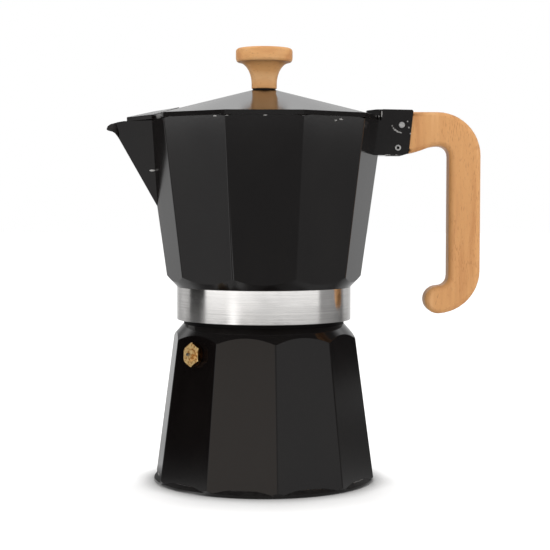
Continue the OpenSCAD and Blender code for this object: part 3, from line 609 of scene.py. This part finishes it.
PAPER_GLOW = 0.85
ROOM_LIGHT = 0.55

bpy.ops.object.select_all(action="DESELECT")
bpy.ops.mesh.primitive_plane_add(size=12, location=(0, 0, 0))
floor = bpy.context.object
floor.name = "floor"
white, tree, shader, place = start("white_paper", Roughness=0.9)
path = add(tree, "LightPath")
# the camera sees white paper with a close shadow round the foot and a longer one in front
add_link(tree, mixed(tree, path.outputs["Is Camera Ray"], linear("#ebebeb"), linear("#b9b8b7")),
         shader, "Base Color")
close = add(tree, "MapRange", {0: open_sky(tree, 0.014, 0.0), 1: 0.5, 2: 0.98})
ahead = add(tree, "MapRange", {0: open_sky(tree, 0.056, 3.0), 1: 0.2, 2: 0.95})
unshaded = add(tree, "Math", {0: close, 1: ahead}, operation="MULTIPLY")
seen_lift = add(tree, "Math", {0: unshaded, 1: path.outputs["Is Camera Ray"]},
                operation="MULTIPLY")
glow = add(tree, "Math", {0: seen_lift, 1: PAPER_GLOW}, operation="MULTIPLY")
lift = add(tree, "Emission", {"Color": (1, 1, 1, 1), "Strength": glow})
lit = add(tree, "AddShader", {0: shader, 1: lift})
# what a gloss surface mirrors: shaded paper near the pot and a bright edge far away
paper = round_the_pot(tree, place, (
    (-180, 0.9), (-163, 0.63), (-147, 0.47), (-125, 0.5), (-116, 0.3), (-104, 0.17),
    (-92, 0.15), (-82, 0.5), (-72, 0.56), (-50, 0.45), (-39, 1.7), (-28, 0.4), (-14, 0.27),
    (0, 0.265), (30, 0.29), (72, 0.365), (90, 0.33), (108, 0.24), (122, 0.13), (135, 0.4),
    (146, 0.54), (163, 0.7), (180, 0.9)))
horizon = round_the_pot(tree, place, (
    (-180, 0.9), (-147, 0.47), (-135, 0.62), (-115, 0.6), (-111, 0.03), (-84, 0.03),
    (-79, 1.6), (-60, 1.6), (-20, 1.42), (0, 1.3), (20, 1.38), (60, 1.4), (74, 1.35), (79, 0.4),
    (110, 0.35), (118, 0.25), (124, 0.2), (130, 0.6), (146, 0.54), (180, 0.9)))
oval = add(tree, "VectorMath", {0: place, 1: (0.88, 1.0, 1.0)}, operation="MULTIPLY")
reach = add(tree, "VectorMath", {0: oval}, operation="LENGTH").outputs["Value"]
far = add(tree, "MapRange", {0: reach, 1: 1.07, 2: 1.16})
mirrored = add(tree, "Emission", {0: mixed(tree, far, paper.outputs[0], horizon.outputs[0])})
shown = add(tree, "MixShader", {0: path.outputs["Is Glossy Ray"], 1: lit, 2: mirrored})
add_link(tree, shown, tree.nodes["Material Output"], "Surface")
floor.data.materials.append(white)

world = bpy.data.worlds.new("studio")
bpy.context.scene.world = world
world.use_nodes = True
tree = world.node_tree
tree.nodes.clear()
path = add(tree, "LightPath")
seen = add(tree, "Math", {0: path.outputs["Is Camera Ray"],
                          1: path.outputs["Is Transmission Ray"]}, operation="MAXIMUM")
# the room that a gloss surface mirrors: windows in front, dark walls beside them, a white
# screen behind and a lamp above the screen
ray = add(tree, "TexCoord").outputs["Generated"]
room = round_the_pot(tree, ray, (
    (-180, 0.77), (-174, 0.82), (-165, 0.54), (-150, 0.36), (-135, 0.25), (-115, 0.02),
    (-92, 0.0), (-80, 0.1), (-70, 0.15), (-64, 0.7), (-42, "#dbd3cb"), (-27, "#e4dbd2"),
    (-20, "#e0d8d1"), (-8, 0.42), (4, 0.34), (20, 0.42), (32, 0.5), (47, 0.56), (55, 0.54),
    (66, 0.3), (77, 0.17), (92, 0.1), (118, 0.03), (133, 0.03), (143, 0.3), (150, 0.5),
    (172, 0.74), (180, 0.77)))
along = add(tree, "SeparateXYZ", {0: ray})
climb = add(tree, "Math", {0: along.outputs["Y"], 1: -0.1, 2: along.outputs["Z"]},
            operation="MULTIPLY_ADD")
high = add(tree, "MapRange", {0: climb, 1: 0.22, 2: 0.4}, interpolation_type="SMOOTHSTEP")
above = add(tree, "MapRange", {0: along.outputs["Y"], 1: 0.5, 2: 0.8, 3: 0.08, 4: 1.2},
            interpolation_type="SMOOTHSTEP")
lamp_glow = add(tree, "CombineXYZ", {0: above, 1: above, 2: above})
glossy = mixed(tree, high, room.outputs[0], lamp_glow.outputs[0])
rays = mixed(tree, path.outputs["Is Glossy Ray"], [ROOM_LIGHT] * 3 + [1.0], glossy)
shown = mixed(tree, seen, rays, [1.0] * 4)
light = add(tree, "Background", {"Color": shown})
add(tree, "OutputWorld", {0: light})


def softbox(name, place, aim, width, height, power):
    """A plain rectangular studio light that faces the aim."""
    bpy.ops.object.light_add(type="AREA", location=place)
    lamp = bpy.context.object
    lamp.name = name
    lamp.data.shape = "RECTANGLE"
    lamp.data.size, lamp.data.size_y = width, height
    lamp.data.energy = power
    lamp.visible_glossy = False
    away = lamp.location - Vector(aim)
    lamp.rotation_euler = away.to_track_quat("Z", "Y").to_euler()


softbox("overhead", (0, -0.15, 1.25), (0, 0, 0.1), 1.3, 1.0, 5)
softbox("front_fill", (0.1, -1.4, 0.18), (0, 0, 0.15), 0.9, 0.4, 3)
softbox("left_window", (-1.3, -0.5, 0.55), (0, 0, 0.12), 0.7, 1.1, 5)
softbox("right_window", (1.3, -0.45, 0.55), (0, 0, 0.12), 0.7, 1.1, 5)

bpy.ops.object.camera_add(location=(0, -0.755, 0.14036),
                          rotation=(math.radians(87.2035), math.radians(-0.1087),
                                    math.radians(-0.4207)))
camera = bpy.context.object
camera.data.sensor_width = 36
camera.data.lens = 97.743
camera.data.clip_start = 0.05
bpy.context.scene.camera = camera
bpy.context.scene.view_settings.view_transform = "Standard"
